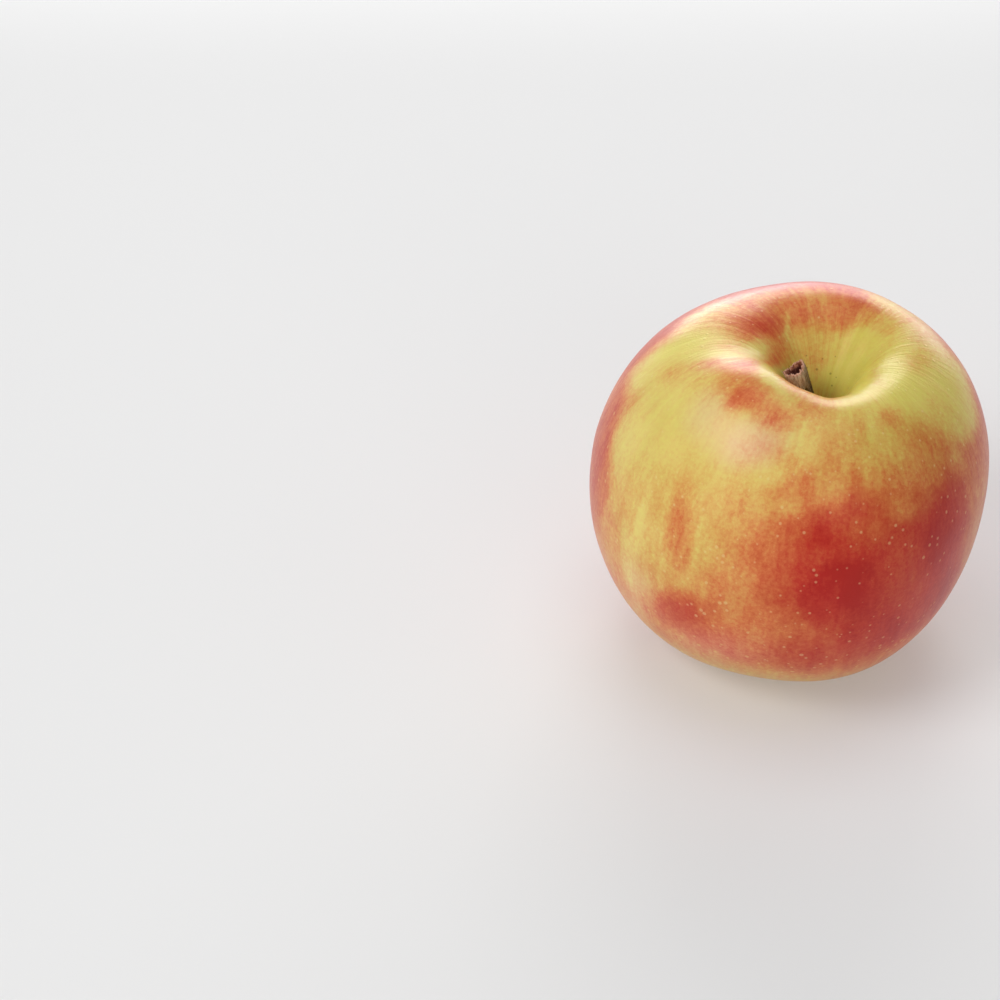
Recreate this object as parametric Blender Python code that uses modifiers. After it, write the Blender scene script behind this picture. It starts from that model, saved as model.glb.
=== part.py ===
"""A whole ripe apple, standing upright on the lobes round its eye.

Metres, +Z up.  The origin is on the table, under the middle of the fruit.
-Y is the side that shows the yellow flush and the low saddle in the rim.

The fruit is one solid: a turned profile (Screw) whose points are then pushed
by the five carpel lobes, a leaning axis and the off-centre stem cavity.
The stem, the five dried sepals and the withered stamens are their own pieces.
"""

import math

import bpy
import numpy as np
from mathutils import Matrix, Vector

MM = 0.001

# ---------------------------------------------------------------- dimensions
# Fruit, in millimetres
RADIUS = 40.0            # at the widest station
HEIGHT = 67.86           # rim of the stem cavity above the basal crown, before the lobes
WIDEST_Z = 36.38         # height of the widest station
CAVITY_DEPTH = 18.4      # stem cavity below the rim
RIM_RADIUS = 19.1        # crest of the rim round the stem cavity
CROWN_RADIUS = 14.0      # crest of the basal crown that the apple stands on
BASIN_DEPTH = 8.6        # eye basin above the crown
TUBE_RADIUS = 2.0        # calyx tube in the middle of the basin
TUBE_DEPTH = 2.6
FLAT_LEVEL = -0.90       # the lobes are pressed flat at this height, where they bear on the table

# Roundness of each stretch of the profile: a share of the distance to the next key point
CAVITY_FLOOR, CAVITY_LIP = 0.20, 0.61
SHOULDER_OUT, SHOULDER_UP = 0.416, 0.595
FLANK_DOWN, FLANK_IN = 0.734, 0.419
CROWN_IN, BASIN_FLOOR = 0.50, 0.36

# The five lobes, counted anticlockwise from the high shoulder at the front left
LOBE_START = math.radians(-138.7)
LOBE_SHARPNESS = 6.4
RIM_LOBES = (3.46, -0.02, -0.08, 0.70, 1.48)      # height of the shoulder over each lobe, mm
FLANK_LOBES = (-0.55, 2.26, 1.41, 0.43, 0.62)   # how far the flank stands out over each lobe, mm
CROWN_LOBES = (1.25, 1.17, 1.20, 1.15, 1.28)     # how far each basal knob reaches down, mm
RIM_LOBE_OUT, CROWN_LOBE_OUT = 0.3, 0.8
SADDLE, SADDLE_AT = 1.1, math.radians(-8)   # the rim dips on the right, where the cavity runs out into the shoulder
PINCH, PINCH_AT = 3.0, math.radians(-22)   # and its crest lies further in there, nearer the stalk

# Leaning, bowed axis and off-centre cavity, mm, and the oval of the cross-section
LEAN = (5.12, -3.58)
BOW = (2.45, 0.82)
CAVITY_SHIFT = (3.90, -1.26)
RIM_SHIFT = (-0.80, 1.07)
OVAL, OVAL_AT = -0.011, 0.3
RIPPLE = 0.16            # slow unevenness of the flesh, mm

# Stem
STEM_RISE = 13.70
STEM_LEAN = (-4.58, 0.7)
STEM_RADII = ((0.0, 0.38), (0.03, 0.60), (0.08, 0.86), (0.16, 1.14), (0.34, 1.42), (0.60, 1.56), (0.80, 1.82), (0.93, 2.30), (1.0, 2.20))
STEM_GAP = 0.55          # clearance between the stem's foot and the cavity's floor

# Dried sepals round the eye
SEPALS = 5
SEPAL_WIDTH = 3.3
SEPAL_THICK = 0.5
SEPAL_DROP = 5.9         # from the root to the tip
SEPAL_GAP = 1.05         # from the basin's floor to the middle of the root
SEPAL_ROOT_RADIUS = 2.75

# Mesh density
ROUND = 66               # steps round the fruit
STATIONS = (12, 13, 14, 8, 3)   # cavity, shoulder, flank, basin, calyx tube

# ---------------------------------------------------------------- colours
SKIN = (0.55, 0.09, 0.045)
STEM = (0.16, 0.10, 0.055)
SEPAL = (0.10, 0.065, 0.035)
STAMEN = (0.055, 0.035, 0.02)


# ---------------------------------------------------------------- geometry rules
def bezier(p0, p1, p2, p3, t):
    p0, p1, p2, p3 = (np.array(p, float) for p in (p0, p1, p2, p3))
    t = np.asarray(t, float)[:, None]
    return (1 - t) ** 3 * p0 + 3 * (1 - t) ** 2 * t * p1 + 3 * (1 - t) * t * t * p2 + t ** 3 * p3


def step(a, b, x):
    t = np.clip((x - a) / (b - a), 0.0, 1.0)
    return t * t * (3 - 2 * t)


def profile(counts):
    """Rows of (radius, height, station). Station 0 is the cavity floor, 1 the rim, 2 the widest ring, 3 the crown, 4 the edge of the calyx tube, 5 its end."""
    floor = HEIGHT - CAVITY_DEPTH
    r, z = RIM_RADIUS, HEIGHT
    spans = (
        ((0, floor), (r * CAVITY_FLOOR, floor), (r * (1 - CAVITY_LIP), z), (r, z)),
        ((r, z), (r + SHOULDER_OUT * (RADIUS - r), z), (RADIUS, WIDEST_Z + SHOULDER_UP * (z - WIDEST_Z)), (RADIUS, WIDEST_Z)),
        ((RADIUS, WIDEST_Z), (RADIUS, WIDEST_Z * (1 - FLANK_DOWN)), (CROWN_RADIUS + FLANK_IN * (RADIUS - CROWN_RADIUS), 0), (CROWN_RADIUS, 0)),
        ((CROWN_RADIUS, 0), (CROWN_RADIUS * (1 - CROWN_IN), 0), (CROWN_RADIUS * BASIN_FLOOR, BASIN_DEPTH), (TUBE_RADIUS, BASIN_DEPTH)),
        ((TUBE_RADIUS, BASIN_DEPTH), (TUBE_RADIUS * 0.62, BASIN_DEPTH + 0.3), (TUBE_RADIUS * 0.45, BASIN_DEPTH + TUBE_DEPTH), (0, BASIN_DEPTH + TUBE_DEPTH)),
    )
    rows = []
    for i, (span, n) in enumerate(zip(spans, counts)):
        fine = np.linspace(0, 1, 400)
        at = bezier(*span, fine)
        run = np.concatenate([[0], np.cumsum(np.linalg.norm(np.diff(at, axis=0), axis=1))])
        share = np.linspace(0, 1, n + 1)
        # closer rings at the cavity's floor and on the knobs it stands on
        share = {0: share ** 1.45, 2: 1 - (1 - share) ** 1.4, 3: share ** 1.25}.get(i, share)
        t = np.interp(share * run[-1], run, fine)
        pts = bezier(*span, t)
        part = np.column_stack([pts, i + t])
        rows.append(part if i == 0 else part[1:])
    return np.vstack(rows)


def sculpt(radius, height, station, angle):
    """Where a point of the plain turned shape goes once the lobes, the lean and the cavity's shift are in. Millimetres."""
    rim = step(0.15, 0.9, station) * (1 - step(1.05, 1.95, station))
    flank = step(0.9, 1.7, station) * (1 - step(2.3, 3.0, station))
    crown = step(2.1, 2.95, station) * (1 - step(3.1, 3.9, station))
    lobe = [np.exp(LOBE_SHARPNESS * (np.cos(angle - LOBE_START - i * math.tau / 5) - 1)) for i in range(5)]
    up = sum(a * b for a, b in zip(RIM_LOBES, lobe))
    out = sum(a * b for a, b in zip(FLANK_LOBES, lobe))
    down = sum(a * b for a, b in zip(CROWN_LOBES, lobe))
    slow = (
        np.sin(2 * angle + 1.7 * station + 0.6)
        + 0.7 * np.sin(3 * angle - 2.3 * station + 2.1)
        + 0.5 * np.sin(4 * angle + 3.1 * station + 4.0)
    )
    body = step(0.8, 1.4, station) * (1 - step(2.5, 3.0, station))
    r = radius + flank * out + RIM_LOBE_OUT * rim * up + CROWN_LOBE_OUT * crown * down + RIPPLE * body * slow
    r = r * (1 + OVAL * np.cos(2 * (angle - OVAL_AT)))
    h = (height - HEIGHT / 2) / HEIGHT
    inner = 1 - step(0.4, 1.8, station)
    brim = step(0.1, 0.95, station) * (1 - step(1.05, 1.9, station))
    r = r - PINCH * np.exp(5 * (np.cos(angle - PINCH_AT) - 1)) * brim
    x = r * np.cos(angle) + LEAN[0] * h + BOW[0] * 4 * h * h + CAVITY_SHIFT[0] * inner + RIM_SHIFT[0] * brim
    y = r * np.sin(angle) + LEAN[1] * h + BOW[1] * 4 * h * h + CAVITY_SHIFT[1] * inner + RIM_SHIFT[1] * brim
    dip = SADDLE * np.exp(2.2 * (np.cos(angle - SADDLE_AT) - 1)) * step(0.55, 0.95, station) * (1 - step(1.0, 1.6, station))
    z = height + rim * up - dip - crown * down
    return x, y, np.maximum(z, FLAT_LEVEL) - FLAT_LEVEL


def middle():
    """The middle of the fruit's plan, which is moved to the origin."""
    rows = profile(STATIONS)
    angle = np.arange(ROUND) * math.tau / ROUND
    x, y, _ = sculpt(rows[:, 0:1], rows[:, 1:2], rows[:, 2:3], angle[None, :])
    return (x.min() + x.max()) / 2, (y.min() + y.max()) / 2


MIDDLE = middle()


def at_fruit(radius, height, station, angle):
    """A point of the sculpted fruit in metres, in the part's frame."""
    x, y, z = sculpt(*(np.asarray(v, float) for v in (radius, height, station, angle)))
    return Vector(((float(x) - MIDDLE[0]) * MM, (float(y) - MIDDLE[1]) * MM, float(z) * MM))


# ---------------------------------------------------------------- Blender helpers
def material(name, colour, roughness):
    mat = bpy.data.materials.new(name)
    mat.use_nodes = True
    shader = mat.node_tree.nodes["Principled BSDF"]
    shader.inputs["Base Color"].default_value = (*colour, 1)
    shader.inputs["Roughness"].default_value = roughness
    shader.inputs["Metallic"].default_value = 0.0
    mat.diffuse_color = (*colour, 1)
    return mat


def applied(obj):
    """The object with its modifiers, or a curve with its caps welded, as a plain mesh object of the same name."""
    graph = bpy.context.evaluated_depsgraph_get()
    mesh = bpy.data.meshes.new_from_object(obj.evaluated_get(graph))
    name, matrix, parent = obj.name, obj.matrix_world.copy(), obj.parent
    homes = list(obj.users_collection)
    bpy.data.objects.remove(obj)
    new = bpy.data.objects.new(name, mesh)
    mesh.name = name
    for home in homes:
        home.objects.link(new)
    new.parent = parent
    new.matrix_world = matrix
    return new


def smooth(obj, mat, angle=50):
    obj.data.materials.clear()
    obj.data.materials.append(mat)
    obj.data.shade_smooth()
    obj.data.set_sharp_from_angle(angle=math.radians(angle))


def make_fruit(home, root, mat):
    rows = profile(STATIONS)
    mesh = bpy.data.meshes.new("fruit")
    mesh.from_pydata([(r * MM, 0, z * MM) for r, z, _ in rows], [(i, i + 1) for i in range(len(rows) - 1)], [])
    obj = bpy.data.objects.new("fruit", mesh)
    home.objects.link(obj)
    obj.parent = root
    turn = obj.modifiers.new("turned", "SCREW")
    turn.axis = "Z"
    turn.steps = turn.render_steps = ROUND
    turn.use_merge_vertices = True
    turn.merge_threshold = 0.00001
    turn.use_smooth_shade = True
    bpy.context.view_layer.update()
    obj = applied(obj)

    # The plain turned shape is then sculpted, point by point.
    co = np.array([v.co for v in obj.data.vertices], float) / MM
    radius = np.hypot(co[:, 0], co[:, 1])
    angle = np.arctan2(co[:, 1], co[:, 0])
    nearest = np.argmin((radius[:, None] - rows[None, :, 0]) ** 2 + (co[:, 2][:, None] - rows[None, :, 1]) ** 2, axis=1)
    x, y, z = sculpt(radius, co[:, 2], rows[nearest, 2], angle)
    out = np.column_stack([x - MIDDLE[0], y - MIDDLE[1], z]) * MM
    obj.data.vertices.foreach_set("co", out.astype(np.float32).ravel())
    obj.data.update()
    smooth(obj, mat, 80)
    return obj


def make_stem(home, root, mat):
    """A round-wire curve from just above the cavity's floor, leaning to the left, with the knob where it broke from the spur."""
    foot = at_fruit(0, HEIGHT - CAVITY_DEPTH, 0, 0) + Vector((0, 0, STEM_GAP * MM))
    curve = bpy.data.curves.new("stem", "CURVE")
    curve.dimensions = "3D"
    curve.bevel_depth = MM
    curve.bevel_resolution = 4
    curve.use_fill_caps = True
    shares = (0, 0.03, 0.08, 0.16, 0.25, 0.34, 0.43, 0.52, 0.60, 0.67, 0.74, 0.80, 0.87, 0.93, 0.97, 1.0)
    spline = curve.splines.new("POLY")
    spline.points.add(len(shares) - 1)
    at, size = zip(*STEM_RADII)
    for point, s in zip(spline.points, shares):
        bend = s ** 1.4
        p = foot + Vector((STEM_LEAN[0] * bend, STEM_LEAN[1] * bend, STEM_RISE * s)) * MM
        point.co = (*p, 1)
        point.radius = float(np.interp(s, at, size))
    obj = bpy.data.objects.new("stem", curve)
    home.objects.link(obj)
    obj.parent = root
    bpy.context.view_layer.update()
    obj = applied(obj)
    weld(obj)
    smooth(obj, mat)
    return obj


def weld(obj):
    import bmesh

    bm = bmesh.new()
    bm.from_mesh(obj.data)
    bmesh.ops.remove_doubles(bm, verts=bm.verts, dist=0.000002)
    bmesh.ops.recalc_face_normals(bm, faces=bm.faces)
    bm.to_mesh(obj.data)
    bm.free()


def sepal_centre(s, curl):
    """(radius, height above the table) of a sepal's midline, in mm: down out of the basin, then the dry tip curls outwards."""
    r, z = SEPAL_ROOT_RADIUS, BASIN_DEPTH - FLAT_LEVEL - SEPAL_GAP
    knots = np.array([
        (r + 0.25, z),
        (r - 0.30, z - SEPAL_DROP * 0.28),
        (r - 0.35, z - SEPAL_DROP * 0.54),
        (r + 0.20 + 0.3 * curl, z - SEPAL_DROP * 0.79),
        (r + 1.05 + 1.0 * curl, z - SEPAL_DROP * (1 - 0.05 * curl)),
    ])
    x = s * (len(knots) - 1)
    i = min(int(x), len(knots) - 2)
    p = knots[max(i - 1, 0)], knots[i], knots[i + 1], knots[min(i + 2, len(knots) - 1)]
    t = x - i
    return 0.5 * (2 * p[1] + (p[2] - p[0]) * t + (2 * p[0] - 5 * p[1] + 4 * p[2] - p[3]) * t * t + (3 * p[1] - 3 * p[2] - p[0] + p[3]) * t ** 3)


def make_sepal(home, root, mat, number, eye):
    """A small open sheet, grid primitive, bent into a keeled dry leaf; Solidify gives it its thickness and Subdivision Surface rounds it."""
    angle = LOBE_START + math.radians(36) + number * math.tau / SEPALS
    curl = (0.55, -0.2, 0.9, 0.25, 0.7)[number]
    bpy.ops.mesh.primitive_grid_add(x_subdivisions=4, y_subdivisions=10, size=2)
    obj = bpy.context.active_object
    obj.name = obj.data.name = f"sepal_{number + 1}"
    for c in list(obj.users_collection):
        c.objects.unlink(obj)
    home.objects.link(obj)
    radial = Vector((math.cos(angle), math.sin(angle), 0))
    across = Vector((-math.sin(angle), math.cos(angle), 0))
    for v in obj.data.vertices:
        u, s = v.co.x, (v.co.y + 1) / 2
        r, z = sepal_centre(s, curl)
        half = SEPAL_WIDTH / 2 * (0.74 + 0.46 * s - 1.12 * s * s)
        keel = 0.32 * u * u * (1 - 0.4 * s)
        swing = 0.30 * math.sin(2.1 * number + 3 * s) * s * s
        p = Vector((eye.x, eye.y, 0)) + (radial * (r - keel) + across * (u * half + swing) + Vector((0, 0, z))) * MM
        v.co = p
    obj.parent = root
    thick = obj.modifiers.new("thickness", "SOLIDIFY")
    thick.thickness = SEPAL_THICK * MM
    thick.offset = 0.0
    sub = obj.modifiers.new("rounded", "SUBSURF")
    sub.levels = sub.render_levels = 1
    smooth(obj, mat)
    return obj


def make_stamens(home, root, mat, eye):
    """The withered stamens stand in the calyx tube as one tuft: a turned, fluted bundle."""
    rows = ((0.0, 9.75), (0.5, 9.75), (0.62, 9.0), (0.75, 8.0), (0.85, 7.0), (0.95, 6.2), (0.8, 5.6), (0.35, 5.35), (0.0, 5.3))
    mesh = bpy.data.meshes.new("stamens")
    mesh.from_pydata([(r * MM, 0, z * MM) for r, z in rows], [(i, i + 1) for i in range(len(rows) - 1)], [])
    obj = bpy.data.objects.new("stamens", mesh)
    home.objects.link(obj)
    turn = obj.modifiers.new("turned", "SCREW")
    turn.axis = "Z"
    turn.steps = turn.render_steps = 20
    turn.use_merge_vertices = True
    turn.merge_threshold = 0.00001
    obj.location = (eye.x, eye.y, 0)
    obj.parent = root
    bpy.context.view_layer.update()
    obj = applied(obj)
    for v in obj.data.vertices:
        a = math.atan2(v.co.y, v.co.x)
        flute = 1 + 0.16 * math.cos(10 * a) if abs(v.co.x) + abs(v.co.y) > 0.0005 * MM else 1
        v.co.x *= flute
        v.co.y *= flute
    smooth(obj, mat)
    return obj


def main():
    for o in list(bpy.data.objects):
        bpy.data.objects.remove(o)
    home = bpy.data.collections.new("apple")
    bpy.context.scene.collection.children.link(home)
    root = bpy.data.objects.new("apple_origin", None)
    root.empty_display_size = 0.02
    home.objects.link(root)
    skin = material("skin", SKIN, 0.32)
    wood = material("stem", STEM, 0.75)
    leaf = material("sepal", SEPAL, 0.85)
    dry = material("stamen", STAMEN, 0.9)
    make_fruit(home, root, skin)
    make_stem(home, root, wood)
    eye = at_fruit(0, BASIN_DEPTH, 4, 0)
    for n in range(SEPALS):
        make_sepal(home, root, leaf, n, eye)
    make_stamens(home, root, dry, eye)
    bpy.context.view_layer.update()


main()
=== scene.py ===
import math

import bmesh
import bpy
import numpy as np
from mathutils import Matrix, Vector, noise


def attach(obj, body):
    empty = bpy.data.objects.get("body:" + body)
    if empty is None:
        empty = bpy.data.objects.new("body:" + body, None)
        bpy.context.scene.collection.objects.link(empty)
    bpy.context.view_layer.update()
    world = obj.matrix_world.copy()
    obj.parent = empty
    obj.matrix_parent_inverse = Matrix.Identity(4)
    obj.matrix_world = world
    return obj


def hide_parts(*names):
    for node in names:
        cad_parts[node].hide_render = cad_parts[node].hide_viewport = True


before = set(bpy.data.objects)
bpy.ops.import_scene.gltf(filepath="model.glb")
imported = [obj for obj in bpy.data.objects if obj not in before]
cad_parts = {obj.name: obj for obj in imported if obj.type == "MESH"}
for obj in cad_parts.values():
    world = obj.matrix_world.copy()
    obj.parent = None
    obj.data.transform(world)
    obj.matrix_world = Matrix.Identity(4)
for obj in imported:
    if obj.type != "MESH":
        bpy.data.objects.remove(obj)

TAU = math.tau
MM = 0.001
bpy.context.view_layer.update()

# =============================================================== shape of the fruit (the CAD model's rules, millimetres)
RADIUS, HEIGHT, WIDEST_Z = 40.0, 67.86, 36.38
CAVITY_DEPTH, RIM_RADIUS, CROWN_RADIUS, BASIN_DEPTH = 18.4, 19.1, 14.0, 8.6
TUBE_RADIUS, TUBE_DEPTH, FLAT_LEVEL = 2.0, 2.6, -0.90
CAVITY_FLOOR, CAVITY_LIP = 0.20, 0.61
SHOULDER_OUT, SHOULDER_UP = 0.416, 0.595
FLANK_DOWN, FLANK_IN = 0.734, 0.419
CROWN_IN, BASIN_FLOOR = 0.50, 0.36
LOBE_START = math.radians(-138.7)
LOBE_SHARPNESS = 6.4
RIM_LOBES = (3.46, -0.02, -0.08, 0.70, 1.48)
FLANK_LOBES = (-0.55, 2.26, 1.41, 0.43, 0.62)
CROWN_LOBES = (1.25, 1.17, 1.20, 1.15, 1.28)
RIM_LOBE_OUT, CROWN_LOBE_OUT = 0.3, 0.8
SADDLE, SADDLE_AT = 1.1, math.radians(-8)
PINCH, PINCH_AT = 3.0, math.radians(-22)
LEAN, BOW, CAVITY_SHIFT, RIM_SHIFT = (5.12, -3.58), (2.45, 0.82), (3.90, -1.26), (-0.80, 1.07)
OVAL, OVAL_AT, RIPPLE = -0.011, 0.3, 0.16
STATIONS_CAD = (12, 13, 14, 8, 3)
ROUND_CAD = 66


def bezier(p0, p1, p2, p3, t):
    p0, p1, p2, p3 = (np.array(p, float) for p in (p0, p1, p2, p3))
    t = np.asarray(t, float)[:, None]
    return (1 - t) ** 3 * p0 + 3 * (1 - t) ** 2 * t * p1 + 3 * (1 - t) * t * t * p2 + t ** 3 * p3


def step(a, b, x):
    t = np.clip((x - a) / (b - a), 0.0, 1.0)
    return t * t * (3 - 2 * t)


def profile(counts, cad=False):
    floor = HEIGHT - CAVITY_DEPTH
    r, z = RIM_RADIUS, HEIGHT
    spans = (
        ((0, floor), (r * CAVITY_FLOOR, floor), (r * (1 - CAVITY_LIP), z), (r, z)),
        ((r, z), (r + SHOULDER_OUT * (RADIUS - r), z), (RADIUS, WIDEST_Z + SHOULDER_UP * (z - WIDEST_Z)), (RADIUS, WIDEST_Z)),
        ((RADIUS, WIDEST_Z), (RADIUS, WIDEST_Z * (1 - FLANK_DOWN)), (CROWN_RADIUS + FLANK_IN * (RADIUS - CROWN_RADIUS), 0), (CROWN_RADIUS, 0)),
        ((CROWN_RADIUS, 0), (CROWN_RADIUS * (1 - CROWN_IN), 0), (CROWN_RADIUS * BASIN_FLOOR, BASIN_DEPTH), (TUBE_RADIUS, BASIN_DEPTH)),
        ((TUBE_RADIUS, BASIN_DEPTH), (TUBE_RADIUS * 0.62, BASIN_DEPTH + 0.3), (TUBE_RADIUS * 0.45, BASIN_DEPTH + TUBE_DEPTH), (0, BASIN_DEPTH + TUBE_DEPTH)),
    )
    rows = []
    for i, (span, n) in enumerate(zip(spans, counts)):
        fine = np.linspace(0, 1, 400)
        at = bezier(*span, fine)
        run = np.concatenate([[0], np.cumsum(np.linalg.norm(np.diff(at, axis=0), axis=1))])
        share = np.linspace(0, 1, n + 1)
        share = {0: share ** 1.45, 2: 1 - (1 - share) ** 1.4, 3: share ** 1.25}.get(i, share) if cad else {0: share ** 1.25}.get(i, share)
        t = np.interp(share * run[-1], run, fine)
        pts = bezier(*span, t)
        part = np.column_stack([pts, i + t])
        rows.append(part if i == 0 else part[1:])
    return np.vstack(rows)


def sculpt(radius, height, station, angle):
    rim = step(0.15, 0.9, station) * (1 - step(1.05, 1.95, station))
    flank = step(0.9, 1.7, station) * (1 - step(2.3, 3.0, station))
    crown = step(2.1, 2.95, station) * (1 - step(3.1, 3.9, station))
    lobe = [np.exp(LOBE_SHARPNESS * (np.cos(angle - LOBE_START - i * TAU / 5) - 1)) for i in range(5)]
    up = sum(a * b for a, b in zip(RIM_LOBES, lobe))
    out = sum(a * b for a, b in zip(FLANK_LOBES, lobe))
    down = sum(a * b for a, b in zip(CROWN_LOBES, lobe))
    slow = (
        np.sin(2 * angle + 1.7 * station + 0.6)
        + 0.7 * np.sin(3 * angle - 2.3 * station + 2.1)
        + 0.5 * np.sin(4 * angle + 3.1 * station + 4.0)
    )
    body = step(0.8, 1.4, station) * (1 - step(2.5, 3.0, station))
    r = radius + flank * out + RIM_LOBE_OUT * rim * up + CROWN_LOBE_OUT * crown * down + RIPPLE * body * slow
    r = r * (1 + OVAL * np.cos(2 * (angle - OVAL_AT)))
    h = (height - HEIGHT / 2) / HEIGHT
    inner = 1 - step(0.4, 1.8, station)
    brim = step(0.1, 0.95, station) * (1 - step(1.05, 1.9, station))
    r = r - PINCH * np.exp(5 * (np.cos(angle - PINCH_AT) - 1)) * brim
    x = r * np.cos(angle) + LEAN[0] * h + BOW[0] * 4 * h * h + CAVITY_SHIFT[0] * inner + RIM_SHIFT[0] * brim
    y = r * np.sin(angle) + LEAN[1] * h + BOW[1] * 4 * h * h + CAVITY_SHIFT[1] * inner + RIM_SHIFT[1] * brim
    dip = SADDLE * np.exp(2.2 * (np.cos(angle - SADDLE_AT) - 1)) * step(0.55, 0.95, station) * (1 - step(1.0, 1.6, station))
    z = height + rim * up - dip - crown * down
    return x, y, np.maximum(z, FLAT_LEVEL) - FLAT_LEVEL


def plan_middle():
    rows = profile(STATIONS_CAD, cad=True)
    angle = np.arange(ROUND_CAD) * TAU / ROUND_CAD
    x, y, _ = sculpt(rows[:, 0:1], rows[:, 1:2], rows[:, 2:3], angle[None, :])
    return (x.min() + x.max()) / 2, (y.min() + y.max()) / 2


MIDDLE = plan_middle()


def at_fruit(radius, height, station, angle):
    x, y, z = sculpt(*(np.asarray(v, float) for v in (radius, height, station, angle)))
    return Vector(((float(x) - MIDDLE[0]) * MM, (float(y) - MIDDLE[1]) * MM, float(z) * MM))


# =============================================================== small helpers
def srgb(r, g, b):
    """An 8-bit display colour as linear light."""
    return tuple((c / 255 / 12.92) if c <= 10 else ((c / 255 + 0.055) / 1.055) ** 2.4 for c in (r, g, b))


def link(obj):
    bpy.context.scene.collection.objects.link(obj)
    return obj


def mesh_object(name, verts, faces):
    mesh = bpy.data.meshes.new(name)
    mesh.from_pydata([tuple(v) for v in verts], [], faces)
    mesh.update()
    mesh.shade_smooth()
    return link(bpy.data.objects.new(name, mesh))


def point_attribute(obj, name, values):
    values = np.asarray(values, np.float32)
    kind = "FLOAT_VECTOR" if values.ndim == 2 else "FLOAT"
    attribute = obj.data.attributes.new(name, kind, "POINT")
    attribute.data.foreach_set("vector" if kind == "FLOAT_VECTOR" else "value", values.ravel())


class Tree:
    """A short way to write a material's nodes."""

    def __init__(self, name):
        self.mat = bpy.data.materials.new(name)
        self.mat.use_nodes = True
        self.t = self.mat.node_tree
        self.shader = self.t.nodes["Principled BSDF"]

    def put(self, socket, value):
        if isinstance(value, bpy.types.NodeSocket):
            self.t.links.new(value, socket)
        elif value is not None:
            if hasattr(socket.default_value, "__len__") and not hasattr(value, "__len__"):
                value = [value] * len(socket.default_value)
            elif hasattr(socket.default_value, "__len__") and len(socket.default_value) == 4 and len(value) == 3:
                value = (*value, 1)
            socket.default_value = value

    def node(self, kind, **settings):
        n = self.t.nodes.new(kind)
        for k, v in settings.items():
            setattr(n, k, v)
        return n

    def math(self, op, a, b=None, c=None, clamp=False):
        n = self.node("ShaderNodeMath", operation=op, use_clamp=clamp)
        for s, v in zip(n.inputs, (a, b, c)):
            self.put(s, v)
        return n.outputs[0]

    def add(self, *terms):
        out = terms[0]
        for t in terms[1:]:
            out = self.math("ADD", out, t)
        return out

    def mul(self, a, b):
        return self.math("MULTIPLY", a, b)

    def vec(self, op, a, b=None, scale=None):
        n = self.node("ShaderNodeVectorMath", operation=op)
        self.put(n.inputs[0], a)
        if b is not None:
            self.put(n.inputs[1], b)
        if scale is not None:
            self.put(n.inputs["Scale"], scale)
        return n.outputs[0]

    def attr(self, name, vector=False):
        n = self.node("ShaderNodeAttribute", attribute_name=name)
        return n.outputs["Vector" if vector else "Fac"]

    def obj(self):
        return self.node("ShaderNodeTexCoord").outputs["Object"]

    def noise(self, vector, scale, detail=2.0, rough=0.5, colour=False, distortion=0.0):
        n = self.node("ShaderNodeTexNoise")
        self.put(n.inputs["Vector"], vector)
        n.inputs["Scale"].default_value = scale
        n.inputs["Detail"].default_value = detail
        n.inputs["Roughness"].default_value = rough
        n.inputs["Distortion"].default_value = distortion
        return n.outputs["Color" if colour else "Fac"]

    def voronoi(self, vector, scale, random=1.0, feature="F1"):
        n = self.node("ShaderNodeTexVoronoi", feature=feature)
        self.put(n.inputs["Vector"], vector)
        n.inputs["Scale"].default_value = scale
        n.inputs["Randomness"].default_value = random
        return n

    def map(self, value, lo, hi, to_lo=0.0, to_hi=1.0, smooth=True):
        n = self.node("ShaderNodeMapRange", interpolation_type="SMOOTHSTEP" if smooth else "LINEAR")
        for s, v in zip(n.inputs, (value, lo, hi, to_lo, to_hi)):
            self.put(s, v)
        return n.outputs[0]

    def ramp(self, value, stops):
        n = self.node("ShaderNodeValToRGB")
        self.put(n.inputs[0], value)
        e = n.color_ramp.elements
        while len(e) < len(stops):
            e.new(0.5)
        for el, (at, colour) in zip(e, stops):
            el.position = at
            el.color = (*colour, 1)
        return n.outputs[0]

    def mix(self, fac, a, b, mode="MIX"):
        n = self.node("ShaderNodeMix", data_type="RGBA", blend_type=mode)
        self.put(n.inputs[0], fac)
        self.put(n.inputs[6], a)
        self.put(n.inputs[7], b)
        return n.outputs[2]

    def bump(self, height, strength, distance, normal=None):
        n = self.node("ShaderNodeBump")
        n.inputs["Strength"].default_value = strength
        n.inputs["Distance"].default_value = distance
        self.put(n.inputs["Height"], height)
        if normal is not None:
            self.put(n.inputs["Normal"], normal)
        return n.outputs[0]

    def set(self, **sockets):
        for k, v in sockets.items():
            self.put(self.shader.inputs[k.replace("_", " ")], v)
        return self.mat


# =============================================================== camera, lights, floor
scene = bpy.context.scene
scene.view_settings.view_transform = "Standard"
scene.view_settings.look = "None"

camera_data = bpy.data.cameras.new("camera")
camera_data.lens = 203.1
camera_data.sensor_width = 36.0
camera_data.clip_end = 30.0
camera = link(bpy.data.objects.new("camera", camera_data))
camera.location = (-0.05873, -0.91978, 0.72438)
camera.rotation_euler = (math.radians(53.0), 0.0, 0.0)
scene.camera = camera

world = bpy.data.worlds.new("studio")
world.use_nodes = True
scene.world = world
world.node_tree.nodes["Background"].inputs["Color"].default_value = (1.0, 1.0, 1.0, 1.0)
world.node_tree.nodes["Background"].inputs["Strength"].default_value = 0.20


def area(name, place, target, size, radiance, colour=(1, 1, 1)):
    """A soft box; its power follows from how bright its face is."""
    data = bpy.data.lights.new(name, "AREA")
    data.shape = "RECTANGLE"
    data.size, data.size_y = size
    data.energy = math.pi * size[0] * size[1] * radiance
    data.color = colour
    lamp = link(bpy.data.objects.new(name, data))
    lamp.location = place
    lamp.rotation_euler = (Vector(target) - Vector(place)).to_track_quat("-Z", "Y").to_euler()
    return lamp


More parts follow.
